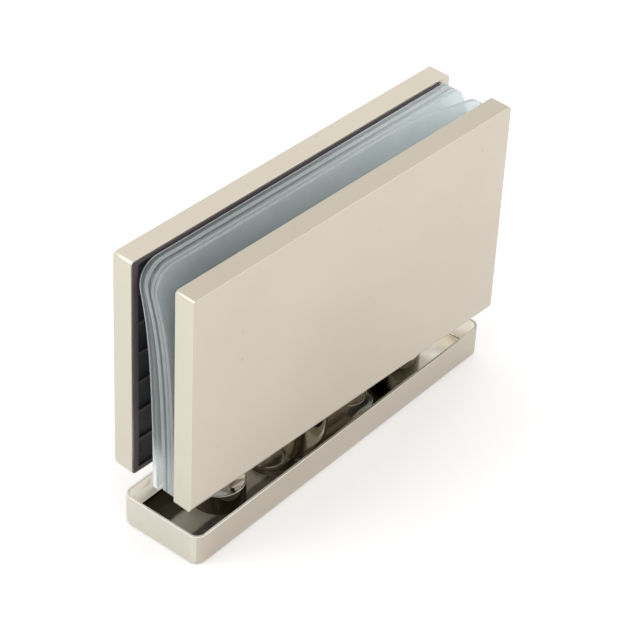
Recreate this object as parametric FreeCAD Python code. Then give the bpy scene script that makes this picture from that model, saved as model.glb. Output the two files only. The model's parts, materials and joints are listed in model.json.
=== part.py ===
# Floor-to-glass hinge: a clamp of two plates that grips the foot of a glass door and swings on a
# vertical spindle in the middle of a low, open, thin-walled base that is screwed to the floor.
#
# All sizes are in millimetres. The origin is the middle of the base's underside, where it meets the
# floor. +X runs along the base, +Z is up, along the spindle, and -Y is the side with the blank plate.
import FreeCAD, Part
import math
import os
from FreeCAD import Vector

# Base tray
tray_length = 90.6
tray_width = 20.3
tray_height = 7.3
tray_corner_radius = 2.4
tray_wall = 0.6
tray_floor = 1.0
tray_inner_fillet = 0.7
tray_edge_round = 0.7

# Floor screws and the countersunk collars that they pass through
floor_screw_spacing = 56.0
floor_screw_radius = 2.65
collar_radius = 5.7
collar_height = 5.0
collar_edge = 0.15
collar_rim = 0.35

# Foot of the spindle and its two rivets
foot_length = 35.0
foot_width = 13.0
foot_thickness = 1.0
foot_rivet_spacing = 26.0
foot_rivet_radius = 2.0
foot_rivet_head_radius = 3.75
foot_rivet_head = 0.7

# Spindle
turned_edge = 0.35
post_radius = 4.0
spigot_radius = 3.0
thrust_collar_radius = 5.2
thrust_collar_height = 1.4
washer_thickness = 0.8
journal_radius = 3.4
upper_journal_radius = 2.6
cam_height = 11.0
cam_flat_depth = 0.4
head_recess = 5.4
upper_journal_proud = 0.3
retaining_screw_radius = 1.5
retaining_screw_depth = 8.0
thread_run_out = 0.3
retaining_head_radius = 2.85
retaining_head_height = 2.0
retaining_socket_across_flats = 2.4
retaining_socket_depth = 1.2
retaining_washer_thickness = 0.8
retaining_washer_gap = 0.4

# Plates
plate_length = 90.0
plate_height = 50.8
plate_thickness = 4.77
plate_gap = 11.4
plate_lift = 14.3
plate_corner_radius = 0.9
plate_edge_break = 0.15

# Pads, let into the plates' inner faces
pad_margin = 0.5
pad_thickness = 1.1
pad_proud = 0.1
pad_side_border = 1.3
pad_end_border = 0.7
pad_rows = 7
pad_columns = 10
pad_rib = 0.55
pad_cell_depth = 0.6

# Pivot block
block_length = 38.0
block_height = 32.0
block_corner_radius = 3.0
block_wall = 1.1
block_lift = 0.2
bush_wall = 0.95
bush_length = 8.0
plunger_radius = 3.1
plunger_length = 6.0
plunger_nose_round = 0.8
plunger_nose_length = 2.4
plunger_wall = 0.9
adjuster_length = 4.2
adjuster_inset = 0.6
spring_wire = 0.8
spring_turns = 5.0

# Plate screws
screw_radius = 2.5
screw_head_radius = 4.7
screw_spacing_x = 25.0
screw_spacing_z = 19.0
screw_grip = 3.2
socket_across_flats = 3.0
socket_depth = 2.0

# Clear sheets that lie loose in the glass gap: thickness from the back one to the front one
sheet_thicknesses = (1.0, 1.4, 0.8, 0.8)
sheet_top_gaps = (0.15, 0.35, 0.15)
sheet_foot_gaps = (1.6, 0.15, 0.15)
sheet_end_margin = 0.8
sheet_drop = 0.8
sheet_corner_radius = 5.5
sheet_foot_radius = 1.0
sheet_trim = 1.0
sheet_top_margin = 0.45
sheet_foot_margin = 0.35
sheet_flare = 3.6
sheet_flare_length = 27.0
flare_steps = 3
# how far a bowed sheet has moved to the front, against how far down it, both as shares of the whole
bow_line = ((0.0, 0.0), (0.05, 0.07), (0.12, 0.29), (0.24, 0.56), (0.40, 0.76), (0.64, 0.91), (1.0, 1.0))

# Clearances
running_clearance = 0.05
seat_clearance = 0.03
screw_clearance = 0.25
cam_clearance = 0.5
notch_clearance = 0.8
rest_clearance = 0.1

# The clamp stands turned by this many degrees from the base, and swings about the spindle
rest_turn = -2.65

# Levels and faces that several pieces share
foot_top = tray_floor + foot_thickness
block_foot = plate_lift + block_lift
block_top = block_foot + block_height
thrust_collar_top = block_foot - rest_clearance - washer_thickness
post_top = thrust_collar_top - thrust_collar_height
cam_foot = block_foot + bush_length
cam_top = cam_foot + cam_height
upper_bush_foot = cam_top + rest_clearance
spindle_top = block_top - head_recess
head_bore_foot = spindle_top - upper_journal_proud
plate_inner = plate_gap / 2
plate_outer = plate_inner + plate_thickness
pad_face = plate_inner - pad_proud
plate_middle = plate_lift + plate_height / 2
detent_level = (cam_foot + cam_top) / 2
plunger_nose = journal_radius + running_clearance * 2
bush_radius = journal_radius + running_clearance + bush_wall
upper_bush_radius = upper_journal_radius + running_clearance + bush_wall
head_bore_radius = plate_inner - block_wall
screw_level = block_foot + block_height / 2
screw_head_height = screw_head_radius - screw_radius
screw_places = [(side * screw_spacing_x / 2, screw_level + level * screw_spacing_z / 2)
                for side in (-1, 1) for level in (-1, 1)]
sheet_length = plate_length - 2 * sheet_end_margin


def box(x0, x1, y0, y1, z0, z1):
    return Part.makeBox(x1 - x0, y1 - y0, z1 - z0, Vector(x0, y0, z0))


def upright(radius, z0, z1, x=0.0, y=0.0):
    return Part.makeCylinder(radius, z1 - z0, Vector(x, y, z0), Vector(0, 0, 1))


def along_x(radius, x0, x1, z):
    return Part.makeCylinder(radius, x1 - x0, Vector(x0, 0, z), Vector(1, 0, 0))


def along_y(radius, y0, y1, x, z):
    return Part.makeCylinder(radius, y1 - y0, Vector(x, y0, z), Vector(0, 1, 0))


def turned(profile):
    """A solid of revolution about the spindle's axis from (radius, height) corners."""
    points = [Vector(r, 0, z) for r, z in profile]
    face = Part.Face(Part.makePolygon(points + points[:1]))
    return face.revolve(Vector(0, 0, 0), Vector(0, 0, 1), 360)


def rounded_slab(length, width, radius, thickness):
    """A slab in the XY plane, centred on the origin, with its upright corners rounded."""
    slab = box(-length / 2, length / 2, -width / 2, width / 2, 0, thickness)
    corners = [e for e in slab.Edges if abs(e.Vertexes[0].Point.z - e.Vertexes[-1].Point.z) > thickness / 2]
    return slab.makeFillet(radius, corners)


def standing_slab(length, height, radius, y0, y1, z_middle):
    """A rounded slab that stands on its long side between two depths."""
    slab = rounded_slab(length, height, radius, y1 - y0)
    slab.rotate(Vector(0, 0, 0), Vector(1, 0, 0), 90)
    slab.translate(Vector(0, y1, z_middle))
    return slab


def edges_at(shape, axis, value):
    """The edges of a shape that lie wholly in one plane across an axis."""
    found = []
    for edge in shape.Edges:
        low = getattr(edge.BoundBox, axis + "Min")
        high = getattr(edge.BoundBox, axis + "Max")
        if abs(low - value) < 1e-4 and abs(high - value) < 1e-4:
            found.append(edge)
    return found


def hexagon(across_flats, y0, y1, x, z):
    """A hexagonal prism along Y."""
    corner = across_flats / math.sqrt(3)
    points = []
    for i in range(7):
        angle = math.radians(60 * i)
        points.append(Vector(x + corner * math.cos(angle), y0, z + corner * math.sin(angle)))
    return Part.Face(Part.makePolygon(points)).extrude(Vector(0, y1 - y0, 0))


def base_tray():
    tray = rounded_slab(tray_length, tray_width, tray_corner_radius, tray_height)
    tray = tray.makeFillet(tray_edge_round, edges_at(tray, "Z", 0))
    hollow = rounded_slab(tray_length - 2 * tray_wall, tray_width - 2 * tray_wall,
                          tray_corner_radius - tray_wall, tray_height)
    hollow = hollow.makeFillet(tray_inner_fillet, edges_at(hollow, "Z", 0))
    hollow.translate(Vector(0, 0, tray_floor))
    tray = tray.cut(hollow)
    for side in (-1, 1):
        screw_x = side * floor_screw_spacing / 2
        rivet_x = side * foot_rivet_spacing / 2
        tray = tray.cut(upright(floor_screw_radius, 0, tray_floor, screw_x))
        tray = tray.cut(upright(foot_rivet_radius + seat_clearance, 0, tray_floor, rivet_x))
    return tray


def fixing_collar(side):
    """A turned collar on the tray's floor, countersunk for the head of a floor screw."""
    top = tray_floor + collar_height
    sink = collar_radius - collar_rim
    profile = [(floor_screw_radius, tray_floor), (collar_radius, tray_floor),
               (collar_radius, top - collar_edge), (collar_radius - collar_edge, top),
               (sink, top), (floor_screw_radius, top - (sink - floor_screw_radius))]
    collar = turned(profile)
    collar.translate(Vector(side * floor_screw_spacing / 2, 0, 0))
    return collar


def pivot_foot():
    end = (foot_length - foot_width) / 2
    foot = box(-end, end, -foot_width / 2, foot_width / 2, tray_floor, foot_top)
    for x in (-end, end):
        foot = foot.fuse(upright(foot_width / 2, tray_floor, foot_top, x))
    foot = foot.removeSplitter()
    foot = foot.cut(upright(spigot_radius + seat_clearance, tray_floor, foot_top))
    head_foot = foot_top - foot_rivet_head
    for side in (-1, 1):
        x = side * foot_rivet_spacing / 2
        foot = foot.cut(upright(foot_rivet_radius + seat_clearance, tray_floor, foot_top, x))
        foot = foot.cut(upright(foot_rivet_head_radius + seat_clearance, head_foot, foot_top, x))
    return foot


def foot_rivets():
    rivets = []
    for side in (-1, 1):
        x = side * foot_rivet_spacing / 2
        shank = upright(foot_rivet_radius, 0, foot_top, x)
        rivets.append(shank.fuse(upright(foot_rivet_head_radius, foot_top - foot_rivet_head, foot_top, x)))
    return Part.makeCompound(rivets)


def pivot_spindle():
    """The fixed upright: post, thrust collar, lower journal, four-flat cam and upper journal."""
    edge = turned_edge
    profile = [(0, tray_floor), (spigot_radius, tray_floor), (spigot_radius, foot_top),
               (post_radius, foot_top), (post_radius, post_top), (thrust_collar_radius - edge, post_top),
               (thrust_collar_radius, post_top + edge), (thrust_collar_radius, thrust_collar_top),
               (journal_radius, thrust_collar_top), (journal_radius, cam_top),
               (upper_journal_radius, cam_top), (upper_journal_radius, spindle_top - edge),
               (upper_journal_radius - edge, spindle_top), (0, spindle_top)]
    spindle = turned(profile)
    flat = journal_radius - cam_flat_depth
    reach = journal_radius * 2
    for quarter in range(4):
        slice_off = box(flat, reach, -reach, reach, cam_foot, cam_top)
        slice_off.rotate(Vector(0, 0, 0), Vector(0, 0, 1), 90 * quarter)
        spindle = spindle.cut(slice_off)
    hole_foot = spindle_top - retaining_screw_depth
    return spindle.cut(upright(retaining_screw_radius + seat_clearance, hole_foot, spindle_top))


def thrust_washer():
    ring = upright(thrust_collar_radius, thrust_collar_top, thrust_collar_top + washer_thickness)
    return ring.cut(upright(journal_radius + running_clearance, thrust_collar_top, block_foot))


def retaining_washer():
    top = spindle_top + retaining_washer_thickness
    ring = upright(head_bore_radius - retaining_washer_gap, spindle_top, top)
    return ring.cut(upright(retaining_screw_radius + running_clearance, spindle_top, top))


def retaining_screw():
    seat = spindle_top + retaining_washer_thickness
    top = seat + retaining_head_height
    tip = spindle_top - retaining_screw_depth + thread_run_out
    edge = turned_edge
    profile = [(0, tip), (retaining_screw_radius, tip), (retaining_screw_radius, seat),
               (retaining_head_radius, seat), (retaining_head_radius, top - edge),
               (retaining_head_radius - edge, top), (0, top)]
    socket = hexagon(retaining_socket_across_flats, -retaining_socket_depth, 0, 0, 0)
    socket.rotate(Vector(0, 0, 0), Vector(1, 0, 0), 90)
    socket.translate(Vector(0, 0, top))
    return turned(profile).cut(socket)


def block_outline(y0, y1, grow=0.0):
    """The pivot block's outline, or a clearance around it: square at the foot, rounded at the top."""
    half = block_length / 2 + grow
    top = block_top + grow
    slab = box(-half, half, y0, y1, block_foot, top)
    corners = []
    for edge in slab.Edges:
        middle = edge.BoundBox.Center
        if abs(middle.z - top) < 1e-6 and abs(abs(middle.x) - half) < 1e-6:
            corners.append(edge)
    return slab.makeFillet(block_corner_radius + grow, corners)


def block_opening(y0, y1, grow, foot):
    """A clearance around the block's outline that is open downwards."""
    half = block_length / 2 + grow
    return block_outline(y0, y1, grow).fuse(box(-half, half, y0, y1, foot, block_foot))


def plate(side):
    """One clamp plate: pocketed inside for its pad, with a raised seat for the pivot block."""
    y0, y1 = sorted((side * plate_inner, side * plate_outer))
    solid = standing_slab(plate_length, plate_height, plate_corner_radius, y0, y1, plate_middle)
    solid = solid.makeChamfer(plate_edge_break, edges_at(solid, "Y", y0) + edges_at(solid, "Y", y1))
    depth = pad_thickness - pad_proud
    p0, p1 = sorted((side * plate_inner, side * (plate_inner + depth)))
    pocket = standing_slab(plate_length - 2 * pad_margin, plate_height - 2 * pad_margin,
                           plate_corner_radius - pad_margin, p0, p1, plate_middle)
    seat = block_opening(p0, p1, notch_clearance - seat_clearance * 2, plate_lift)
    return solid.cut(pocket.cut(seat))


def front_plate():
    """The blank plate: its threaded holes are blind."""
    solid = plate(-1)
    bottom = -plate_inner - screw_grip
    for x, z in screw_places:
        solid = solid.cut(along_y(screw_radius + running_clearance, bottom, -plate_inner, x, z))
    return solid


def screw_head(x, z, grow=0.0):
    """The cone of a countersunk head, flush with the back plate, or a clearance around it."""
    return Part.makeCone(screw_radius + grow, screw_head_radius + grow, screw_head_height,
                         Vector(x, plate_outer - screw_head_height, z), Vector(0, 1, 0))


def back_plate():
    """The plate that the four countersunk screws go through."""
    solid = plate(1)
    for x, z in screw_places:
        solid = solid.cut(along_y(screw_radius + screw_clearance, plate_inner, plate_outer, x, z))
        solid = solid.cut(screw_head(x, z, seat_clearance))
    return solid


def pad(side):
    """A moulded pad in its plate's pocket, with rows of recessed cells between thin ribs."""
    y0, y1 = sorted((side * pad_face, side * (pad_face + pad_thickness)))
    inset = pad_margin + seat_clearance * 2
    solid = standing_slab(plate_length - 2 * inset, plate_height - 2 * inset,
                          plate_corner_radius - pad_margin, y0, y1, plate_middle)
    cell_length = (plate_length - 2 * inset - 2 * pad_side_border + pad_rib) / pad_columns - pad_rib
    cell_height = (plate_height - 2 * inset - 2 * pad_end_border + pad_rib) / pad_rows - pad_rib
    first_x = -plate_length / 2 + inset + pad_side_border
    first_z = plate_lift + inset + pad_end_border
    c0, c1 = sorted((side * pad_face, side * (pad_face + pad_cell_depth)))
    keep_clear = block_length / 2 + notch_clearance + pad_rib
    keep_under = block_top + notch_clearance + pad_rib
    cells = []
    for column in range(pad_columns):
        x = first_x + column * (cell_length + pad_rib)
        for row in range(pad_rows):
            z = first_z + row * (cell_height + pad_rib)
            beside = x > keep_clear or x + cell_length < -keep_clear
            if beside or z > keep_under:
                cells.append(box(x, x + cell_length, c0, c1, z, z + cell_height))
    solid = solid.cut(Part.makeCompound(cells))
    return solid.cut(block_opening(y0, y1, notch_clearance, plate_lift))


def pivot_block():
    """The body between the plates: bored upright for the spindle and lengthwise for the detents."""
    block = block_outline(-plate_inner, plate_inner)
    bores = [upright(bush_radius + seat_clearance, block_foot, cam_foot),
             upright(journal_radius + cam_clearance, cam_foot, upper_bush_foot),
             upright(upper_bush_radius + seat_clearance, upper_bush_foot, head_bore_foot),
             upright(head_bore_radius, head_bore_foot, block_top),
             along_x(plunger_radius + running_clearance, -block_length / 2, block_length / 2,
                     detent_level)]
    for x, z in screw_places:
        bores.append(along_y(screw_radius + screw_clearance, -plate_inner, plate_inner, x, z))
    for bore in bores:
        block = block.cut(bore)
    return block


def sleeve(inner, outer, z0, z1):
    return upright(outer, z0, z1).cut(upright(inner, z0, z1))


def detent_plunger(side):
    """A cup with a rounded nose that faces the cam, and the spring's pocket in its other end."""
    x0 = plunger_nose
    x1 = plunger_nose + plunger_length
    cup = along_x(plunger_radius, x0, x1, 0)
    cup = cup.makeFillet(plunger_nose_round, edges_at(cup, "X", x0))
    cup = cup.cut(along_x(plunger_radius - plunger_wall, x0 + plunger_nose_length, x1, 0))
    if side < 0:
        cup.rotate(Vector(0, 0, 0), Vector(0, 0, 1), 180)
    cup.translate(Vector(0, 0, detent_level))
    return cup


def detent_spring(side):
    """A coil spring from the plunger's pocket to the adjuster screw, as one round wire."""
    x0 = plunger_nose + plunger_nose_length + spring_wire / 2 + running_clearance
    x1 = block_length / 2 - adjuster_inset - adjuster_length - spring_wire / 2 - running_clearance
    coil_radius = plunger_radius - plunger_wall - spring_wire / 2 - running_clearance * 2
    path = Part.makeHelix((x1 - x0) / spring_turns, x1 - x0, coil_radius)
    section = Part.makeCircle(spring_wire / 2, Vector(coil_radius, 0, 0), Vector(0, 1, 0))
    coil = Part.Wire(path).makePipeShell([Part.Wire(section)], True, True)
    coil.rotate(Vector(0, 0, 0), Vector(0, 1, 0), 90 * side)
    coil.translate(Vector(side * x0, 0, detent_level))
    return coil


def adjuster_screw(side):
    """A hex-socket screw that closes the detent's bore and loads its spring."""
    x1 = block_length / 2 - adjuster_inset
    screw = along_x(plunger_radius, x1 - adjuster_length, x1, 0)
    screw = screw.makeChamfer(plate_edge_break, edges_at(screw, "X", x1))
    socket = hexagon(socket_across_flats, 0, socket_depth, 0, 0)
    socket.rotate(Vector(0, 0, 0), Vector(0, 0, 1), -90)
    socket.translate(Vector(x1 - socket_depth, 0, 0))
    screw = screw.cut(socket)
    if side < 0:
        screw.rotate(Vector(0, 0, 0), Vector(0, 0, 1), 180)
    screw.translate(Vector(0, 0, detent_level))
    return screw


def plate_screws():
    """Four countersunk screws through the back plate and the block into the front plate."""
    screws = []
    tip = -plate_inner - screw_grip + thread_run_out
    for x, z in screw_places:
        shank = along_y(screw_radius, tip, plate_outer - screw_head_height, x, z)
        socket = hexagon(socket_across_flats, plate_outer - socket_depth, plate_outer, x, z)
        screws.append(shank.fuse(screw_head(x, z)).cut(socket))
    return Part.makeCompound(screws)


def sheet_outline():
    """The sheets' front view: wide round corners at the top and small ones at the foot."""
    half = sheet_length / 2
    top = plate_lift + plate_height - sheet_drop
    foot = top - plate_height
    corners = [(half, foot, sheet_foot_radius, -90), (half, top, sheet_corner_radius, 0),
               (-half, top, sheet_corner_radius, 90), (-half, foot, sheet_foot_radius, 180)]
    arcs = []
    for x, z, radius, start in corners:
        centre = Vector(x - math.copysign(radius, x), -plate_gap, z - math.copysign(radius, z - plate_middle))
        points = []
        for angle in (start, start + 45, start + 90):
            turn = math.radians(angle)
            points.append(centre + Vector(radius * math.cos(turn), 0, radius * math.sin(turn)))
        arcs.append(points)
    edges = []
    for number, points in enumerate(arcs):
        edges.append(Part.Arc(*points).toShape())
        edges.append(Part.makeLine(points[-1], arcs[(number + 1) % len(arcs)][0]))
    return Part.Face(Part.Wire(edges)).extrude(Vector(0, 2 * plate_gap, 0))


def sheet_section(x, top_back, foot_back, thickness):
    """The closed outline of one bowed sheet at one place along the plates."""
    top = plate_lift + plate_height - sheet_drop
    lines = []
    for offset in (0, thickness):
        points = []
        for down, across in bow_line:
            y = top_back + (foot_back - top_back) * across - offset
            points.append(Vector(x, y, top - plate_height * down))
        curve = Part.BSplineCurve()
        curve.interpolate(points)
        lines.append((curve.toShape(), points[0], points[-1]))
    back, front = lines
    return Part.Wire([back[0], Part.makeLine(back[2], front[2]),
                      front[0], Part.makeLine(front[1], back[1])])


def gasket_sheet(index):
    """One loose clear sheet: bowed, corners rounded, notched over the pivot block."""
    tops = [pad_face - sheet_top_margin]
    for thickness, gap in zip(sheet_thicknesses, sheet_top_gaps):
        tops.append(tops[-1] - thickness - gap)
    feet = [-pad_face + sheet_foot_margin + sheet_thicknesses[-1]]
    for thickness, gap in zip(reversed(sheet_thicknesses[:-1]), reversed(sheet_foot_gaps)):
        feet.insert(0, feet[0] + gap + thickness)
    thickness = sheet_thicknesses[index]
    half = sheet_length / 2
    stations = [(-half - sheet_trim, 0.0), (half + sheet_trim, 0.0)]
    if index == len(sheet_thicknesses) - 1:
        stations = [(-half - sheet_trim, 0.0)]
        for step in range(flare_steps + 1):
            share = step / flare_steps
            stations.append((half - sheet_flare_length * (1 - share), sheet_flare * share ** 2))
    sections = [sheet_section(x, tops[index] - flare, feet[index], thickness) for x, flare in stations]
    sheet = Part.makeLoft(sections, True, True)
    sheet = sheet.common(sheet_outline())
    return sheet.cut(block_opening(-plate_inner, plate_inner, notch_clearance, 0))


base_pieces = {
    "base_tray": base_tray(),
    "fixing_collar_left": fixing_collar(-1),
    "fixing_collar_right": fixing_collar(1),
    "pivot_foot": pivot_foot(),
    "foot_rivets": foot_rivets(),
    "pivot_spindle": pivot_spindle(),
    "thrust_washer": thrust_washer(),
    "retaining_washer": retaining_washer(),
    "retaining_screw": retaining_screw(),
}

clamp_pieces = {
    "front_plate": front_plate(),
    "back_plate": back_plate(),
    "front_pad": pad(-1),
    "back_pad": pad(1),
    "pivot_block": pivot_block(),
    "lower_bush": sleeve(journal_radius + running_clearance, bush_radius, block_foot, cam_foot),
    "upper_bush": sleeve(upper_journal_radius + running_clearance, upper_bush_radius,
                         upper_bush_foot, head_bore_foot),
    "detent_plunger_left": detent_plunger(-1),
    "detent_plunger_right": detent_plunger(1),
    "detent_spring_left": detent_spring(-1),
    "detent_spring_right": detent_spring(1),
    "adjuster_screw_left": adjuster_screw(-1),
    "adjuster_screw_right": adjuster_screw(1),
    "plate_screws": plate_screws(),
}
for number in range(len(sheet_thicknesses)):
    clamp_pieces["gasket_sheet_%d" % (number + 1)] = gasket_sheet(number)

os.makedirs("parts", exist_ok=True)
for name, shape in base_pieces.items():
    shape.exportStep("parts/%s.step" % name)
for name, shape in clamp_pieces.items():
    shape.rotate(Vector(0, 0, 0), Vector(0, 0, 1), rest_turn)
    shape.exportStep("parts/%s.step" % name)
for name, shape in {**base_pieces, **clamp_pieces}.items():
    facts = (name, len(shape.Solids), shape.isValid(), shape.Volume)
    print("%-22s solids %d  valid %s  volume %.1f mm3" % facts)
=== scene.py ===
# %% [markdown]
# # A floor-to-glass hinge in satin nickel
# This lesson dresses a imported model of a hinge for glass doors: two metal plates that grip the foot of
# the glass, on a spindle in a low open base. The imported model is the frame, so the first step loads it.
# Everything made here has to stay inside that size.

# %% Load the frame
import json
import math
import bpy
from mathutils import Matrix, Vector


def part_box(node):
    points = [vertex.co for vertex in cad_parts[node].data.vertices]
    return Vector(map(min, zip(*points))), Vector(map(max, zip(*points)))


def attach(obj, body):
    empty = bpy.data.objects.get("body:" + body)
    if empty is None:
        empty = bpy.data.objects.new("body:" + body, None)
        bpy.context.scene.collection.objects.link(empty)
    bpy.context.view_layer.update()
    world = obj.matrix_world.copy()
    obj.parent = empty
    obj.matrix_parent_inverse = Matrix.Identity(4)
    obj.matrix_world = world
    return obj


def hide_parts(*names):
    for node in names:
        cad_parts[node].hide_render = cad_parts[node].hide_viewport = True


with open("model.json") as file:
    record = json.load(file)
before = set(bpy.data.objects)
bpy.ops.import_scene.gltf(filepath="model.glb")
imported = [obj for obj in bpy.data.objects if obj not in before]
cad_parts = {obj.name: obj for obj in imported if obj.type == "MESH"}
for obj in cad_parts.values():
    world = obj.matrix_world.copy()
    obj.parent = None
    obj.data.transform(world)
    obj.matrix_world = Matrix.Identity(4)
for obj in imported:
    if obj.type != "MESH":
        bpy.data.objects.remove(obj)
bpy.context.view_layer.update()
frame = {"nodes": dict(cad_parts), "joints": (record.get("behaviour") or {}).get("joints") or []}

# %% [markdown]
# The clamp stands turned a little from the base, as someone left it. The joint's range tells by how
# much: the closed position is in the middle of the range, and rest is at zero. Pieces of the clamp are
# easier to model square to the axes, so they are made that way and turned at the end.

# %% Millimetres and the clamp's turn
MM = 0.001
swing = frame["joints"][0]["range_deg"]
REST_TURN = -math.radians((swing[0] + swing[1]) / 2)
TO_CLAMP = Matrix.Rotation(REST_TURN, 4, "Z")


def extent(points):
    """Lowest and highest corner of some points."""
    low = Vector([min(p[i] for p in points) for i in range(3)])
    high = Vector([max(p[i] for p in points) for i in range(3)])
    return low, high


def clamp_box(node):
    """The corners of a clamp node, as they would be with the clamp square to the axes."""
    turn_back = TO_CLAMP.inverted()
    return extent([turn_back @ v.co for v in frame["nodes"][node].data.vertices])


print("clamp turned by", round(math.degrees(REST_TURN), 2), "degrees")

# %% [markdown]
# The camera stands where the photographer's did: high on the left, with a long lens, so that the
# object's parallel edges hardly converge. A camera that is placed by its azimuth, elevation and roll is
# easy to compare with a photograph, one angle at a time.

# %% Camera
CAMERA_PLACE = Vector((-318.67, -250.89, 355.36)) * MM
CAMERA_AZIMUTH = math.radians(-51.65)
CAMERA_ELEVATION = math.radians(38.53)
CAMERA_ROLL = math.radians(2.80)
FOCAL_PIXELS = 2603.08
FRAME_PIXELS = 618
SENSOR = 36.0

camera_data = bpy.data.cameras.new("camera")
camera_data.sensor_width = SENSOR
camera_data.lens = SENSOR * FOCAL_PIXELS / FRAME_PIXELS
camera_data.clip_start = 0.01
camera_data.clip_end = 20.0
camera = bpy.data.objects.new("camera", camera_data)
bpy.context.scene.collection.objects.link(camera)
turn = Matrix.Rotation(CAMERA_AZIMUTH, 4, "Z") @ Matrix.Rotation(math.pi / 2 - CAMERA_ELEVATION, 4, "X")
camera.matrix_world = Matrix.Translation(CAMERA_PLACE) @ turn @ Matrix.Rotation(CAMERA_ROLL, 4, "Z")
bpy.context.scene.camera = camera
print("lens", round(camera_data.lens, 1), "mm")

# %% [markdown]
# ## Writing materials as sums
# A material is a graph of nodes, and wiring one by hand in code is slow to read. A small class wraps an
# output socket, so that `grain * 0.2 + 0.4` adds the Math nodes by itself.

# %% A class for shader sums
class Flow:
    """The output of a shader node, usable in sums."""

    def __init__(self, finish, socket):
        self.finish = finish
        self.socket = socket

    def maths(self, operation, first, second):
        return self.finish.node("ShaderNodeMath", {"operation": operation}, {0: first, 1: second})

    def __add__(self, other):
        return self.maths("ADD", self, other)

    __radd__ = __add__

    def __mul__(self, other):
        return self.maths("MULTIPLY", self, other)

    __rmul__ = __mul__

    def __sub__(self, other):
        return self.maths("SUBTRACT", self, other)

    def __rsub__(self, other):
        return self.maths("SUBTRACT", other, self)

    def at_least(self, value):
        return self.maths("MAXIMUM", self, value)

    def above(self, edge, width):
        """0 below an edge and 1 above it, with a soft step of the given width."""
        return self.finish.node("ShaderNodeMapRange", {"interpolation_type": "SMOOTHSTEP"},
                                {"Value": self, "From Min": edge - width / 2, "From Max": edge + width / 2})


# %% [markdown]
# The second class is the material itself. All other nodes come from its one method `node`, which sets a
# node's options and plugs in what is given: a number, a colour, or the output of another node.

# %% A class for materials
class Finish:
    """A material whose nodes are added by name."""

    def __init__(self, name):
        self.material = bpy.data.materials.new(name)
        self.material.use_nodes = True
        self.tree = self.material.node_tree
        self.shader = self.tree.nodes["Principled BSDF"]

    def plug(self, target, value):
        if isinstance(value, Flow):
            self.tree.links.new(value.socket, target)
        else:
            target.default_value = value

    def node(self, kind, settings=None, sockets=None, output=0):
        made = self.tree.nodes.new(kind)
        for name, value in (settings or {}).items():
            setattr(made, name, value)
        for name, value in (sockets or {}).items():
            self.plug(made.inputs[name], value)
        return Flow(self, made.outputs[output])

    def place(self, scale=(1.0, 1.0, 1.0), turn=(0.0, 0.0, 0.0)):
        """Object coordinates, stretched and turned."""
        there = self.node("ShaderNodeTexCoord", output=3)
        return self.node("ShaderNodeMapping", {}, {"Vector": there, "Scale": scale, "Rotation": turn})

    def noise(self, scale, detail=2.0, roughness=0.5, where=None):
        sockets = {"Scale": scale, "Detail": detail, "Roughness": roughness}
        sockets["Vector"] = where or self.place()
        return self.node("ShaderNodeTexNoise", {}, sockets)

    def blend(self, share, first, second):
        """A mix of two colours."""
        made = self.tree.nodes.new("ShaderNodeMix")
        made.data_type = "RGBA"
        self.plug(made.inputs[0], share)
        self.plug(made.inputs[6], first)
        self.plug(made.inputs[7], second)
        return Flow(self, made.outputs[2])

    def along(self, axis):
        """How far a point lies along an axis of the frame, in metres: 0 for X, 1 for Y, 2 for Z."""
        return self.node("ShaderNodeSeparateXYZ", {}, {"Vector": self.place()}, output=axis)

    def carried(self, name):
        """A number that the mesh carries at its points."""
        return self.node("ShaderNodeAttribute", {"attribute_name": name}, output=2)

    def bump(self, height, distance, strength=1.0):
        return self.node("ShaderNodeBump", {}, {"Height": height, "Distance": distance, "Strength": strength})

    def wear(self, **sockets):
        """Sets the main shader's sockets; an underscore stands for a space."""
        for name, value in sockets.items():
            self.plug(self.shader.inputs[name.replace("_", " ")], value)
        return self.material


def darker(tone, red, green, blue):
    """A tone with each of its parts times a share."""
    return (tone[0] * red, tone[1] * green, tone[2] * blue, 1.0)


def tell(*finishes):
    print("finishes made:", *[finish.name for finish in finishes])


# %% [markdown]
# ## The finishes
# The plates and the outside of the base are nickel with a warm satin finish: almost one tone, with a
# grain so fine that it only softens what it reflects. A stretched noise makes the grain, and a slow one
# makes the small difference of tone from place to place. The end and top faces get lighter or darker
# copies of that tone, which are painted light and shade for how the light falls on them.

# %% Satin nickel
GRAIN = (260.0, 900.0, 5200.0)
GRAIN_TURN = (0.0, 0.0, REST_TURN)
SPECK_TONE = (0.33, 0.30, 0.26, 1.0)
PLATE_TONE = (0.607, 0.547, 0.465, 1.0)
# The end and top tones are lighter or darker copies of the plate and base tones: painted light and shade.
END_PAINTED_LIGHT_TONE = (0.652, 0.610, 0.514, 1.0)
FRONT_TOP_PAINTED_LIGHT_TONE = (0.613, 0.554, 0.452, 1.0)
BACK_TOP_PAINTED_LIGHT_TONE = (0.729, 0.665, 0.551, 1.0)
BASE_TONE = (0.556, 0.502, 0.431, 1.0)
BASE_END_PAINTED_LIGHT_TONE = (0.673, 0.651, 0.570, 1.0)


def satin_nickel(name, tone, roughness=0.34):
    finish = Finish(name)
    grain = finish.noise(1.0, 4.0, 0.6, finish.place(GRAIN, GRAIN_TURN))
    cloud = finish.noise(38.0, 3.0, 0.55)
    specks = finish.noise(620.0, 0.0, 0.5).above(0.845, 0.02)
    colour = finish.blend(cloud.above(0.5, 0.5), darker(tone, 0.955, 0.950, 0.945), tone)
    colour = finish.blend(specks * 0.16, colour, SPECK_TONE)
    return finish.wear(Base_Color=colour, Metallic=1.0,
                       Roughness=grain * 0.10 + cloud * 0.05 + (roughness - 0.075),
                       Normal=finish.bump(grain, 0.000012, 0.6))


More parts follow.
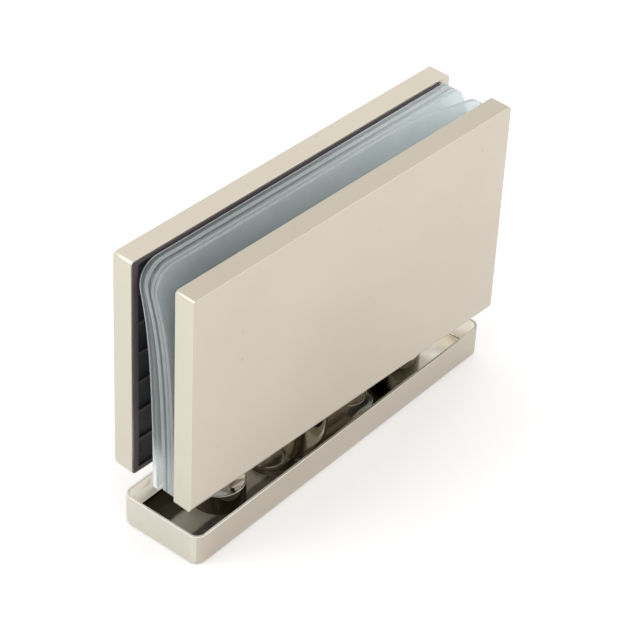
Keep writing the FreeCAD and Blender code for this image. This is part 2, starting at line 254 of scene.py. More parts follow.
plate_finish = satin_nickel("satin_nickel_plate", PLATE_TONE)
# The copies for end faces and tops carry painted light and shade.
end_painted_light = satin_nickel("satin_nickel_ends", END_PAINTED_LIGHT_TONE)
front_top_painted_light = satin_nickel("satin_nickel_front_top", FRONT_TOP_PAINTED_LIGHT_TONE)
back_top_painted_light = satin_nickel("satin_nickel_back_top", BACK_TOP_PAINTED_LIGHT_TONE)
base_finish = satin_nickel("satin_nickel_base", BASE_TONE, 0.32)
base_end_painted_light = satin_nickel("satin_nickel_base_end", BASE_END_PAINTED_LIGHT_TONE, 0.32)
tell(plate_finish, end_painted_light, front_top_painted_light, back_top_painted_light, base_finish, base_end_painted_light)

# %% [markdown]
# The spindle, its foot and the two collars for the floor screws are polished. They reflect one another,
# which gives the dark and light bands between them. A faint haze of fine scratches keeps the polish from
# looking like a perfect mirror.

# %% Polished nickel
SMEAR_TONE = (0.46, 0.43, 0.38, 1.0)


def polished_nickel(name, tone=(0.60, 0.56, 0.50, 1.0), roughness=0.07):
    finish = Finish(name)
    haze = finish.noise(160.0, 3.0, 0.6)
    scratch = finish.noise(1.0, 2.0, 0.5, finish.place((300.0, 4200.0, 300.0)))
    smear = finish.noise(55.0, 2.0, 0.5).above(0.62, 0.1)
    return finish.wear(Base_Color=finish.blend(smear * 0.25, tone, SMEAR_TONE), Metallic=1.0,
                       Roughness=haze * 0.06 + (roughness - 0.03),
                       Normal=finish.bump(scratch * 0.7 + haze * 0.3, 0.00001, 0.35))


polish = polished_nickel("polished_nickel")
# A dark copy of the polish, a painted reflection of the dark floor, for the collars' outsides.
polish_painted_dark_reflection = polished_nickel("polished_dark", (0.085, 0.075, 0.055, 1.0), 0.10)
foot_polish = polished_nickel("polished_foot", (0.26, 0.235, 0.19, 1.0), 0.12)
tell(polish, polish_painted_dark_reflection, foot_polish)

# %% [markdown]
# The tray's floor is polished too, and mirrors what stands round it: it is black under the clamp, with
# a paler band along its length, and pale again at the open right end. The plain white world of this
# scene can't give those bands, so they are painted into the floor's colour by their place: painted
# shade under the clamp, a painted reflection band, and painted light at the open end.

# %% The tray's floor
BAND_FRONT = -3.4 * MM
BAND_BACK = 2.0 * MM
BAND_END = -10.0 * MM
OPEN_FLOOR = 23.0 * MM
PALE_FLOOR = 37.0 * MM
# Tones of the painted reflection band and of the painted light at the open end.
PAINTED_REFLECTION_BAND_TONE = (0.50, 0.455, 0.38, 1.0)
OPEN_END_PAINTED_LIGHT_TONE = (0.62, 0.57, 0.49, 1.0)
PALE_END_PAINTED_LIGHT_TONE = (0.92, 0.87, 0.79, 1.0)


def tray_floor_with_painted_reflections():
    finish = Finish("polished_floor")
    across = finish.along(1) + (finish.noise(90.0, 3.0, 0.6) - 0.5) * (1.2 * MM)
    beside = finish.along(0) + (finish.noise(120.0, 2.0, 0.6) - 0.5) * (12 * MM)
    band = (across.above(BAND_FRONT, 0.8 * MM) * 0.55 + 0.45) * (1 - across.above(BAND_BACK, 1.2 * MM))
    band = band * (1 - beside.above(BAND_END, 16 * MM))
    open_end = beside.above(OPEN_FLOOR, 8 * MM)
    blotch = finish.noise(260.0, 3.0, 0.65)
    # Near black under the clamp is painted shade, the band is a painted reflection, and the open end is
    # painted light.
    tone = finish.blend(blotch, (0.012, 0.011, 0.006, 1.0), (0.034, 0.031, 0.020, 1.0))
    tone = finish.blend(band * (blotch * 0.4 + 0.5), tone, PAINTED_REFLECTION_BAND_TONE)
    tone = finish.blend(open_end * 0.8, tone, OPEN_END_PAINTED_LIGHT_TONE)
    tone = finish.blend(beside.above(PALE_FLOOR, 8 * MM), tone, PALE_END_PAINTED_LIGHT_TONE)
    return finish.wear(Base_Color=tone, Metallic=1 - band * 0.5, Normal=finish.bump(blotch, 0.00001, 0.4),
                       Roughness=blotch * 0.12 + 0.06 + open_end * 0.12 + band * 0.30)


floor_painted_reflections = tray_floor_with_painted_reflections()
tell(floor_painted_reflections)

# %% [markdown]
# The tray's inner walls look light even where the clamp shades them. The simple light of this scene
# doesn't reach them as well, so a faint glow, painted light, stands for what is missing. The rim is a
# thin line with a painted highlight at the left end that fades to the base's own tone to the right.

# %% The tray's inner walls and rim
LIT_LEVEL = 3.3 * MM
LIT_BLUR = 3.0 * MM
RIM_FADE = -15.0 * MM
RIM_FADE_LENGTH = 60.0 * MM
# A painted highlight tone for the rim's left end.
RIM_PAINTED_HIGHLIGHT_TONE = (0.92, 0.89, 0.81, 1.0)


def inner_wall_with_painted_glow():
    finish = Finish("tray_inner_wall")
    mottle = finish.noise(180.0, 3.0, 0.6)
    glow_dim_patches = finish.noise(330.0, 2.0, 0.5).above(0.66, 0.06)
    upper = (finish.along(2) + (mottle - 0.5) * (2 * MM)).above(LIT_LEVEL, LIT_BLUR)
    tone = finish.blend(mottle.above(0.5, 0.3), (0.69, 0.65, 0.57, 1.0), (0.80, 0.76, 0.68, 1.0))
    # The glow is painted light: brighter on the upper walls and dimmer in patches.
    glow = finish.blend(upper, (0.24, 0.21, 0.17, 1.0), (0.44, 0.42, 0.37, 1.0))
    glow = finish.blend(glow_dim_patches * 0.6, glow, (0.16, 0.14, 0.11, 1.0))
    return finish.wear(Base_Color=tone, Metallic=0.35, Roughness=mottle * 0.12 + 0.39, Emission_Color=glow,
                       Emission_Strength=1.0, Normal=finish.bump(mottle, 0.00002, 0.5))


def tray_rim_with_painted_highlight():
    finish = Finish("tray_rim")
    wear_and_highlight_noise = finish.noise(300.0, 3.0, 0.6)
    # The bright tone at the left end is a painted highlight that fades to the base tone; the noise also
    # varies the roughness.
    fade = (finish.along(0) + (wear_and_highlight_noise - 0.5) * (10 * MM)).above(RIM_FADE, RIM_FADE_LENGTH)
    return finish.wear(Base_Color=finish.blend(fade, RIM_PAINTED_HIGHLIGHT_TONE, BASE_TONE), Metallic=fade * 0.5 + 0.45,
                       Roughness=wear_and_highlight_noise * 0.1 + 0.28)


inner_wall_painted_glow = inner_wall_with_painted_glow()
rim_painted_highlight = tray_rim_with_painted_highlight()
tell(inner_wall_painted_glow, rim_painted_highlight)

# %% [markdown]
# Screws, plungers and springs are plain plated steel, and the bushes are turned brass, with the rings
# that a lathe leaves.

# %% Steel and brass
def turned_metal(name, tone, roughness):
    finish = Finish(name)
    rings = finish.noise(1.0, 2.0, 0.5, finish.place((400.0, 400.0, 9000.0)))
    stain = finish.noise(220.0, 3.0, 0.6)
    return finish.wear(Base_Color=finish.blend(stain.above(0.5, 0.4), darker(tone, 0.8, 0.8, 0.8), tone),
                       Metallic=1.0, Roughness=rings * 0.14 + (roughness - 0.07),
                       Normal=finish.bump(rings, 0.00001, 0.5))


plated_steel = turned_metal("plated_steel", (0.55, 0.55, 0.54, 1.0), 0.32)
brass = turned_metal("bearing_brass", (0.75, 0.58, 0.28, 1.0), 0.28)
tell(plated_steel, brass)

# %% [markdown]
# The pads are black moulded rubber. Up close it is not one black: pale dust lies in the cells, and the
# raised borders have a lighter, warmer tone that is a painted sheen.

# %% Black rubber
DUST_TONE = (0.42, 0.42, 0.40, 1.0)


def black_rubber(name):
    finish = Finish(name)
    mottle = finish.noise(900.0, 3.0, 0.6)
    dust = finish.noise(1500.0, 1.0, 0.4).above(0.76, 0.03)
    colour = finish.blend(mottle, (0.017, 0.021, 0.021, 1.0), (0.030, 0.034, 0.034, 1.0))
    return finish.wear(Base_Color=finish.blend(dust * 0.5, colour, DUST_TONE),
                       Roughness=mottle * 0.22 + 0.34, Normal=finish.bump(mottle, 0.00003, 0.6))


def rubbed_rubber(name):
    finish = Finish(name)
    mottle = finish.noise(1100.0, 3.0, 0.6)
    # The lighter, warmer tone of the borders is a painted sheen.
    colour = finish.blend(mottle, (0.074, 0.050, 0.060, 1.0), (0.106, 0.076, 0.090, 1.0))
    return finish.wear(Base_Color=colour, Roughness=mottle * 0.2 + 0.30,
                       Normal=finish.bump(mottle, 0.00002, 0.6))


rubber = black_rubber("black_rubber")
rubber_border_painted_sheen = rubbed_rubber("rubbed_rubber")
washer_plastic = black_rubber("washer_plastic")
tell(rubber, rubber_border_painted_sheen, washer_plastic)

# %% [markdown]
# The loose sheets are clear soft plastic. Clear plastic needs a shader that lets light through; a
# little roughness and a blue-grey tint make it milky, and slow waves in the surface catch the light.
# Light that enters at the open end and at the foot runs on inside the sheet, and a faint glow that
# depends on the place, painted light, stands for it.

# %% Clear sheet
SHINE_START = -30.0 * MM
SHINE_LENGTH = 75.0 * MM
FOOT_LEVEL = 21.5 * MM
FOOT_BLUR = 11.0 * MM
DARK = (0.0, 0.0, 0.0, 1.0)
# The white of the painted glow.
PAINTED_GLOW_WHITE = (1.0, 0.99, 0.97, 1.0)


def painted_inner_light(finish):
    """How bright the painted glow of the plastic is, for the light inside it."""
    reach = ((finish.along(0) - SHINE_START) * (1 / SHINE_LENGTH)).at_least(0.0)
    foot = 1 - finish.along(2).above(FOOT_LEVEL, FOOT_BLUR)
    return reach * 0.033 + reach * reach * 0.036 + foot * 0.05 + 0.011


def clear_sheet_with_painted_glow(name):
    finish = Finish(name)
    waves = finish.noise(60.0, 2.0, 0.5)
    smear = finish.noise(240.0, 4.0, 0.6)
    colour = finish.blend(smear.above(0.5, 0.6), (0.80, 0.88, 0.89, 1.0), (0.88, 0.94, 0.945, 1.0))
    # The emission is a painted glow for the light inside the sheet.
    return finish.wear(Base_Color=colour, Roughness=smear * 0.14 + 0.16, Transmission_Weight=0.72, IOR=1.40,
                       Emission_Color=finish.blend(painted_inner_light(finish), DARK, PAINTED_GLOW_WHITE), Emission_Strength=1.0,
                       Normal=finish.bump(waves, 0.0002, 0.5))


clear_plastic_with_painted_glow = clear_sheet_with_painted_glow("clear_sheet")
tell(clear_plastic_with_painted_glow)

# %% [markdown]
# The cut edges are what separates one sheet from the next: each has a painted highlight line along its
# back, its own tone in the middle and a dark front corner of painted shade. A sheet's mesh carries a
# number called depth for that, which is 0 at the sheet's back face and 1 at its front face. The edges
# darken with painted shade lower down, and grow paler with painted light towards the open end and at the
# foot.

# %% Cut edges of the sheets
# Painted highlight lines, and a darker painted shade grey for the first sheet's edge.
PAINTED_RIM_HIGHLIGHT = (0.86, 0.92, 0.92, 1.0)
PAINTED_SOFT_HIGHLIGHT = (0.66, 0.71, 0.71, 1.0)
FIRST_PAINTED_SHADE_GREY = (0.20, 0.23, 0.23, 1.0)
SHEET_GREY = (0.56, 0.61, 0.61, 1.0)
LOW_DOWN = 44.0 * MM
LOW_BLUR = 30.0 * MM
OPEN_END = 10.0 * MM
OPEN_BLUR = 60.0 * MM


def sheet_rim_with_painted_light(name, flat, line, back_share, clear, dark_from=0.90, foot_light=0.02):
    finish = Finish(name)
    depth = finish.carried("depth")
    smear = finish.noise(700.0, 3.0, 0.6)
    tone = finish.blend(smear.above(0.5, 0.5) * 0.5, flat, darker(flat, 0.8, 0.8, 0.8))
    # The back line is a painted highlight. The darkening lower down and at the front corner is painted shade.
    # The paler open end, the paler foot and the foot's glow are painted light.
    tone = finish.blend(1 - depth.above(back_share, 0.14), tone, line)
    low_down = 1 - finish.along(2).above(LOW_DOWN, LOW_BLUR)
    tone = finish.blend(low_down * 0.30, tone, (0.22, 0.25, 0.25, 1.0))
    open_end = finish.along(0).above(OPEN_END, OPEN_BLUR)
    tone = finish.blend(open_end * 0.5, tone, (0.80, 0.86, 0.88, 1.0))
    front_corner = depth.above(dark_from, 0.12) * (1 - open_end * 0.7)
    tone = finish.blend(front_corner, tone, (0.16, 0.19, 0.19, 1.0))
    foot = 1 - finish.along(2).above(FOOT_LEVEL, FOOT_BLUR)
    tone = finish.blend(foot * (foot_light * 6), tone, (0.90, 0.94, 0.94, 1.0))
    glow = finish.blend(foot * foot_light, DARK, PAINTED_GLOW_WHITE)
    return finish.wear(Base_Color=tone, Roughness=smear * 0.1 + 0.15, Transmission_Weight=clear, IOR=1.40,
                       Emission_Color=glow, Emission_Strength=1.0)


first_rim_painted_light = sheet_rim_with_painted_light("clear_sheet_first_rim", FIRST_PAINTED_SHADE_GREY, PAINTED_RIM_HIGHLIGHT, 0.30, 0.70, foot_light=0.165)
second_rim_painted_light = sheet_rim_with_painted_light("clear_sheet_second_rim", SHEET_GREY, PAINTED_SOFT_HIGHLIGHT, 0.20, 0.60, dark_from=0.64)
other_rim_painted_light = sheet_rim_with_painted_light("clear_sheet_rim", SHEET_GREY, PAINTED_SOFT_HIGHLIGHT, 0.20, 0.60, dark_from=0.97)
SHEET_RIMS = (first_rim_painted_light, second_rim_painted_light, other_rim_painted_light, other_rim_painted_light)
tell(first_rim_painted_light, second_rim_painted_light, other_rim_painted_light)

# %% [markdown]
# ## Modelling helpers
# Every piece starts as a primitive of the right size and is shaped in edit mode. Operators act on what
# is selected, and a new primitive comes selected, so everything else is deselected before each step.

# %% Selecting and naming
def leave_edit():
    if bpy.context.object and bpy.context.object.mode != "OBJECT":
        bpy.ops.object.mode_set(mode="OBJECT")


def select_nothing():
    leave_edit()
    bpy.ops.object.select_all(action="DESELECT")


def only(piece):
    """Selects one object and nothing else."""
    select_nothing()
    piece.select_set(True)
    bpy.context.view_layer.objects.active = piece


def fresh(name):
    """Names the object that an operator has just added."""
    piece = bpy.context.object
    piece.name = name
    piece.data.name = name
    return piece


def settle(piece):
    """Moves an object's place, turn and size into its mesh."""
    only(piece)
    bpy.ops.object.transform_apply(location=True, rotation=True, scale=True)


# %% [markdown]
# Boxes and cylinders are the two primitives that most pieces start from. Both are added at their final
# size and place, and that place goes into the mesh at once, so the object itself stays at the origin.

# %% Boxes and cylinders
def cube(name, low, high):
    """A box between two corners."""
    low = Vector(low)
    high = Vector(high)
    select_nothing()
    bpy.ops.mesh.primitive_cube_add(size=1.0, location=(low + high) / 2, scale=high - low)
    piece = fresh(name)
    settle(piece)
    return piece


def cylinder(name, radius, low, high, x=0.0, sides=96):
    """An upright cylinder between two heights."""
    select_nothing()
    bpy.ops.mesh.primitive_cylinder_add(vertices=sides, radius=radius, depth=high - low,
                                        location=(x, 0.0, (low + high) / 2))
    piece = fresh(name)
    settle(piece)
    return piece


# %% [markdown]
# By hand one would click on an edge. In code, a small test says by its place which edge is meant, and
# `pick` goes into edit mode with just those edges or faces selected. The tests below are the ones that
# come back often: edges that run along an axis, and edges that lie in a plane.

# %% Picking by place
def pick(piece, kind, test):
    only(piece)
    bpy.ops.object.mode_set(mode="EDIT")
    bpy.ops.mesh.select_mode(type=kind)
    bpy.ops.mesh.select_all(action="DESELECT")
    bpy.ops.object.mode_set(mode="OBJECT")
    mesh = piece.data
    if kind == "EDGE":
        for edge in mesh.edges:
            edge.select = bool(test(*[mesh.vertices[i].co for i in edge.vertices]))
    elif kind == "FACE":
        for face in mesh.polygons:
            face.select = bool(test(face.center, face.normal))
    else:
        for vertex in mesh.vertices:
            vertex.select = bool(test(vertex.co))
    bpy.ops.object.mode_set(mode="EDIT")


def near(a, b, reach=2e-6):
    return abs(a - b) < reach


def runs_along(axis):
    """A test for edges that run along one axis."""
    def test(a, b):
        others = [i for i in range(3) if i != axis]
        return abs(a[axis] - b[axis]) > 1e-6 and all(near(a[i], b[i]) for i in others)
    return test


def on_plane(axis, value):
    """A test for edges that lie in a plane across an axis."""
    def test(a, b):
        return near(a[axis], value) and near(b[axis], value)
    return test


# %% [markdown]
# Holes and pockets are cut with a boolean: a second object has the form of what is taken away. Bevels
# are done in edit mode where one edge is meant, and by a modifier where every sharp edge gets one. What
# repeats is modelled once and copied, and each copy has its own mesh.

# %% Rounding, cutting and copying
def bevel(width, segments):
    bpy.ops.mesh.bevel(offset=width, offset_type="OFFSET", segments=segments, profile=0.5, affect="EDGES")


def apply_modifier(piece, kind, **settings):
    """Adds a modifier and applies it at once."""
    only(piece)
    modifier = piece.modifiers.new(kind, kind)
    for name, value in settings.items():
        setattr(modifier, name, value)
    bpy.ops.object.modifier_apply(modifier=modifier.name)


def break_edges(piece, width, angle=50.0):
    """A tiny bevel on every edge that is sharper than an angle."""
    apply_modifier(piece, "BEVEL", width=width, segments=2, limit_method="ANGLE",
                   angle_limit=math.radians(angle))


def carve(piece, cutter, operation="DIFFERENCE"):
    """A boolean with another object, which is used up."""
    apply_modifier(piece, "BOOLEAN", object=cutter, operation=operation, solver="EXACT")
    bpy.data.objects.remove(cutter)


def repeat(piece, name, places):
    """Copies of a piece at several places, joined to one object that takes the piece's place."""
    copies = []
    for place in places:
        twin = piece.copy()
        twin.data = piece.data.copy()
        twin.data.transform(Matrix.Translation(place))
        piece.users_collection[0].objects.link(twin)
        copies.append(twin)
    bpy.data.objects.remove(piece)
    only(copies[0])
    for twin in copies[1:]:
        twin.select_set(True)
    bpy.ops.object.join()
    copies[0].name = name
    return copies[0]


def smooth(piece, angle=32.0):
    only(piece)
    bpy.ops.object.shade_smooth_by_angle(angle=math.radians(angle))


# %% [markdown]
# A finished piece gets its materials, the body that it moves with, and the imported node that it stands
# for. Pieces of the clamp are turned to its place here, so that no other step has to think of it.

# %% Handing over a finished piece
def dress(piece, index, test):
    """Gives the faces that pass a test the piece's finish of that number."""
    for face in piece.data.polygons:
        if test(face.center, face.normal):
            face.material_index = index


def mounted(piece, body, slot, finishes, *nodes):
    if body == "clamp":
        piece.data.transform(TO_CLAMP)
    for finish in finishes:
        piece.data.materials.append(finish)
    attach(piece, body)
    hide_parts(*nodes)
    low, high = extent([v.co for v in piece.data.vertices])
    size = [round(span / MM, 2) for span in high - low]
    print(piece.name, "faces", len(piece.data.polygons), "size in mm", size)


# %% [markdown]
# ## The base
# The real base is a shallow tray with thin upright walls and round corners. It is made as a sheet-metal
# worker thinks of it: a block with round corners, hollowed from above, with a small radius where the
# floor meets the walls. The rim gets its own tiny bevel, because that thin bright line is what shows.

# %% Base tray
COLLARS = ("fixing_collar_left", "fixing_collar_right")
TRAY_CORNER = 2.4 * MM
TRAY_WALL = 0.6 * MM
TRAY_FLOOR = 1.0 * MM
TRAY_FILLET = 0.7 * MM
TRAY_EDGE = 0.7 * MM
RIM_EDGE = 0.12 * MM
SCREW_HOLE = 2.65 * MM

low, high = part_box("base_tray")
tray = cube("base_tray_shell", low, high)
pick(tray, "EDGE", runs_along(2))
bevel(TRAY_CORNER, 16)
pick(tray, "EDGE", on_plane(2, low[2]))
bevel(TRAY_EDGE, 4)
pick(tray, "FACE", lambda c, n: n.z > 0.9 and near(c.z, high[2]))
bpy.ops.mesh.inset(thickness=TRAY_WALL)
leave_edit()
pick(tray, "FACE", lambda c, n: n.z > 0.9 and near(c.z, high[2]) and c.xy.length < MM)
bpy.ops.mesh.extrude_region_move(TRANSFORM_OT_translate={"value": (0, 0, TRAY_FLOOR - high[2])})
pick(tray, "EDGE", on_plane(2, TRAY_FLOOR))
bevel(TRAY_FILLET, 6)
pick(tray, "EDGE", on_plane(2, high[2]))
bevel(RIM_EDGE, 4)
leave_edit()
for node in COLLARS:
    left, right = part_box(node)
    carve(tray, cylinder("hole", SCREW_HOLE, low[2] - MM, TRAY_FLOOR + MM, (left[0] + right[0]) / 2))
smooth(tray)

# %% [markdown]
# One mesh carries five finishes here: outside, floor, inner walls, rim and left end face. Where a face
# lies and where it looks tells which it is. A face is on the inside when it looks towards the middle.

# %% The tray's finishes
inner_x = high[0] - TRAY_WALL * 0.8
inner_y = high[1] - TRAY_WALL * 0.8
rim_foot = high[2] - RIM_EDGE * 1.01


def inward(c, n):
    looks_in = n.x * c.x + n.y * c.y < -0.1 * n.xy.length * c.xy.length
    return looks_in and abs(c.x) < inner_x and abs(c.y) < inner_y


dress(tray, 1, lambda c, n: n.z > 0.5 and c.z < high[2] / 2)
dress(tray, 2, lambda c, n: inward(c, n) and n.z <= 0.5 and c.z > TRAY_FLOOR)
dress(tray, 3, lambda c, n: c.z > rim_foot and n.z > 0.3 and not (inward(c, n) and n.z < 0.95))
# The left end face takes the lighter copy of the base tone, which is painted light.
dress(tray, 4, lambda c, n: n.x < -0.6 and c.z < rim_foot and abs(c.x) > inner_x)
tray_finishes = [base_finish, floor_painted_reflections, inner_wall_painted_glow, rim_painted_highlight, base_end_painted_light]
mounted(tray, "base", "satin_nickel", tray_finishes, "base_tray")

# %% [markdown]
# ## Turned pieces
# Collars, rivets and the spindle come off a lathe. A lathe piece is half an outline spun round its
# axis, so one helper draws the outline as edges and uses the spin operator, and another gives the points
# of a rounded corner. A plane merged to one point is the first point of the line.

# %% Helpers for turned pieces
def turned(name, outline, x=0.0, steps=96):
    """Spins a half outline of (radius, height) points about an upright axis."""
    select_nothing()
    bpy.ops.mesh.primitive_plane_add(size=MM, location=(0, 0, 0))
    piece = fresh(name)
    bpy.ops.object.mode_set(mode="EDIT")
    bpy.ops.mesh.select_mode(type="VERT")
    bpy.ops.mesh.select_all(action="SELECT")
    bpy.ops.mesh.merge(type="CENTER")
    here = Vector((0, 0, 0))
    for radius, height in outline:
        target = Vector((radius, 0, height))
        bpy.ops.mesh.extrude_region_move(TRANSFORM_OT_translate={"value": target - here})
        here = target
    leave_edit()
    pick(piece, "VERT", lambda c: c.length < 1e-9)
    if outline[0] != (0.0, 0.0):
        bpy.ops.mesh.delete(type="VERT")
    bpy.ops.mesh.select_all(action="SELECT")
    bpy.ops.mesh.spin(steps=steps, angle=2 * math.pi, center=(0, 0, 0), axis=(0, 0, 1))
    bpy.ops.mesh.select_all(action="SELECT")
    bpy.ops.mesh.remove_doubles(threshold=1e-6)
    bpy.ops.mesh.normals_make_consistent(inside=False)
    leave_edit()
    piece.data.transform(Matrix.Translation((x, 0, 0)))
    return piece


def rounded_corner(radius, height, size, start, end, steps=4):
    """Points of a small arc about a centre, from one angle to another, in degrees."""
    points = []
    for i in range(steps + 1):
        angle = math.radians(start + (end - start) * i / steps)
        points.append((radius + size * math.cos(angle), height + size * math.sin(angle)))
    return points


# %% [markdown]
# Each collar is a bright ring with a wide countersink, and the floor screw goes down through it. Its
# upper rim is rounded, and that narrow curve catches the light as a clean crescent. Its outside is
# painted dark, a painted reflection of the dark floor that it mirrors.

# %% Collars for the floor screws
COLLAR_RIM = 0.35 * MM
COLLAR_ROUND = 0.15 * MM

for node in COLLARS:
    low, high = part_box(node)
    outer = (high[0] - low[0]) / 2
    middle = (low[0] + high[0]) / 2
    top = high[2]
    sink = outer - COLLAR_RIM
    outline = [(SCREW_HOLE, low[2]), (outer - COLLAR_ROUND, low[2]), (outer, low[2] + COLLAR_ROUND)]
    outline += rounded_corner(outer - COLLAR_ROUND, top - COLLAR_ROUND, COLLAR_ROUND, 0, 90)
    outline += [(sink, top), (SCREW_HOLE, top - (sink - SCREW_HOLE)), (SCREW_HOLE, low[2])]
    collar = turned(node.replace("fixing_collar", "collar"), outline, middle)
    smooth(collar)
    # The outside takes the dark copy, which is a painted reflection.
    dress(collar, 1, lambda c, n: abs(n.z) < 0.3 and math.hypot(c.x - middle, c.y) > sink)
    mounted(collar, "base", "polished_nickel", [polish, polish_painted_dark_reflection], node)

# %% [markdown]
# The foot is a plate with round ends on the tray's floor. Its ends are the foot's own upright edges,
# bevelled by almost half its width. Two rivets hold it, their heads let in flush, and a shallow groove
# shows round each head.

# %% Foot
FOOT_FLAT_END = 0.02 * MM
FOOT_EDGE = 0.15 * MM
RIVET_HEAD = 3.75 * MM
RIVET_HEAD_DEPTH = 0.7 * MM
RIVET_PLACE = 13.0 * MM
RIVET_GROOVE = 0.06 * MM

low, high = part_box("pivot_foot")
foot_top = high[2]
foot = cube("spindle_foot", low, high)
pick(foot, "EDGE", runs_along(2))
bevel((high[1] - low[1]) / 2 - FOOT_FLAT_END, 24)
pick(foot, "EDGE", on_plane(2, foot_top))
bevel(FOOT_EDGE, 2)
leave_edit()
for x in (-RIVET_PLACE, RIVET_PLACE):
    carve(foot, cylinder("seat", RIVET_HEAD + RIVET_GROOVE, foot_top - RIVET_HEAD_DEPTH, foot_top + MM, x))
smooth(foot)
mounted(foot, "base", "polished_nickel", [foot_polish], "pivot_foot")

# %% [markdown]
# A rivet is a short shank with a flat head, a broken edge and a shallow dimple where it was pressed.
# One is turned, and its copies make the pair.

# %% Rivets
RIVET_SHANK = 2.0 * MM
RIVET_EDGE = 0.15 * MM
DIMPLE = ((0.9 * MM, 0.0), (0.7 * MM, 0.2 * MM), (0.0, 0.3 * MM))

rivet_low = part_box("foot_rivets")[0][2]
outline = [(0.0, rivet_low), (RIVET_SHANK, rivet_low), (RIVET_SHANK, foot_top - RIVET_HEAD_DEPTH),
           (RIVET_HEAD, foot_top - RIVET_HEAD_DEPTH), (RIVET_HEAD, foot_top - RIVET_EDGE),
           (RIVET_HEAD - RIVET_EDGE, foot_top)]
outline += [(radius, foot_top - depth) for radius, depth in DIMPLE]
rivet = turned("rivet", outline, steps=64)
rivets = repeat(rivet, "foot_rivet_pair", [(-RIVET_PLACE, 0, 0), (RIVET_PLACE, 0, 0)])
smooth(rivets)
mounted(rivets, "base", "polished_nickel", [foot_polish], "foot_rivets")

# %% [markdown]
# Only the lower end of the spindle shows, between the tray's floor and the plates. It is still made
# whole: the post, the thrust collar that the clamp rests on, two journals, the four flats that the
# plungers find, and the tapped hole in its top. The heights come from the pieces that it touches.

# %% Spindle
SPIGOT = 3.0 * MM
POST = 4.0 * MM
JOURNAL = 3.4 * MM
UPPER_JOURNAL = 2.6 * MM
THRUST_HEIGHT = 1.4 * MM
THRUST_ROUND = 0.3 * MM
TOP_EDGE = 0.35 * MM
CAM_FLAT = 3.0 * MM
CAM_GAP = 0.1 * MM
CAM_REACH = (6 * MM, 5 * MM)
TAPPED = 1.53 * MM
TAPPED_DEPTH = 8.0 * MM

low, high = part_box("pivot_spindle")
thrust = (high[0] - low[0]) / 2
thrust_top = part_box("thrust_washer")[0][2]
thrust_foot = thrust_top - THRUST_HEIGHT
cam_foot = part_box("lower_bush")[1][2]
cam_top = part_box("upper_bush")[0][2] - CAM_GAP
outline = [(0.0, low[2]), (SPIGOT, low[2]), (SPIGOT, foot_top), (POST, foot_top), (POST, thrust_foot),
           (thrust - THRUST_ROUND, thrust_foot)]
outline += rounded_corner(thrust - THRUST_ROUND, thrust_foot + THRUST_ROUND, THRUST_ROUND, -90, 0)[1:]
outline += [(thrust, thrust_top), (JOURNAL, thrust_top), (JOURNAL, cam_top), (UPPER_JOURNAL, cam_top),
            (UPPER_JOURNAL, high[2] - TOP_EDGE), (UPPER_JOURNAL - TOP_EDGE, high[2]), (0.0, high[2])]
spindle = turned("spindle", outline)
for quarter in range(4):
    slab = cube("flat", (CAM_FLAT, -CAM_REACH[1], cam_foot), (CAM_REACH[0], CAM_REACH[1], cam_top))
    slab.data.transform(Matrix.Rotation(quarter * math.pi / 2, 4, "Z"))
    carve(spindle, slab)
carve(spindle, cylinder("tapped", TAPPED, high[2] - TAPPED_DEPTH, high[2] + MM, sides=32))
smooth(spindle)
mounted(spindle, "base", "polished_nickel", [polish], "pivot_spindle")

# %% [markdown]
# ## The clamp
# Plates, pads and sheets all have to clear the pivot block at their foot, and the plate screws have
# their places on it. So the block and the screws are measured first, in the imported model.

# %% Measures of the clamp
SCREW = 2.5 * MM
SCREW_HEAD = 4.7 * MM
NOTCH_GAP = 0.8 * MM
BLOCK_ROUND = 3.0 * MM
block_low, block_high = clamp_box("pivot_block")
screw_low, screw_high = clamp_box("plate_screws")
back_outer = clamp_box("back_plate")[1].y
screw_places = [(x, z) for x in (screw_low.x + SCREW_HEAD, screw_high.x - SCREW_HEAD)
                for z in (screw_low.z + SCREW_HEAD, screw_high.z - SCREW_HEAD)]
print("screw places in mm", [(round(x / MM, 1), round(z / MM, 1)) for x, z in screw_places])

# %% [markdown]
# Two forms come back in plates, pads and sheets: a standing slab with round corners, and the outline of
# the block with a margin, to cut with.

# %% Slabs and the block's outline
def standing_slab(name, low, high, corner, segments=14):
    """A block between two corners, rounded in front view."""
    slab = cube(name, low, high)
    pick(slab, "EDGE", runs_along(1))
    bevel(corner, segments)
    leave_edit()
    return slab


def block_shape(name, y0, y1, grow):
    """The pivot block's outline with a margin, square at the foot and round at the top."""
    below = block_low.z - 4 * MM
    shape = cube(name, (block_low.x - grow, y0, below), (block_high.x + grow, y1, block_high.z + grow))
    pick(shape, "EDGE", lambda a, b: runs_along(1)(a, b) and a.z > block_high.z)
    bevel(BLOCK_ROUND + grow, 12)
    leave_edit()
    return shape


# %% [markdown]
# Both plates are blocks with round corners and a very small bevel all round. That bevel matters more
# than its size suggests: it draws the thin light line along every edge. In the photograph the plates
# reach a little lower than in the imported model, and their outer bottom edges are well rounded. A
# carpenter would run a round-over cutter along that edge, and the boolean here has just that form: a
# square bar less a rod.

# %% The round bottom edge
BOTTOM_ROUND = 2.1 * MM
ROD_TOUCH = 0.01 * MM


def gutter(low, high, outer, inner_side):
    """What the cutter takes off the outer bottom edge."""
    y = outer + inner_side * (BOTTOM_ROUND - ROD_TOUCH)
    z = low.z + BOTTOM_ROUND - ROD_TOUCH
    y0, y1 = sorted((outer - inner_side * MM, y))
    bar = cube("bar", (low.x - MM, y0, low.z - MM), (high.x + MM, y1, z))
    rod = cylinder("rod", BOTTOM_ROUND, low.x - 2 * MM, high.x + 2 * MM)
    rod.data.transform(Matrix.Translation((0, y, z)) @ Matrix.Rotation(math.pi / 2, 4, "Y"))
    carve(bar, rod)
    return bar


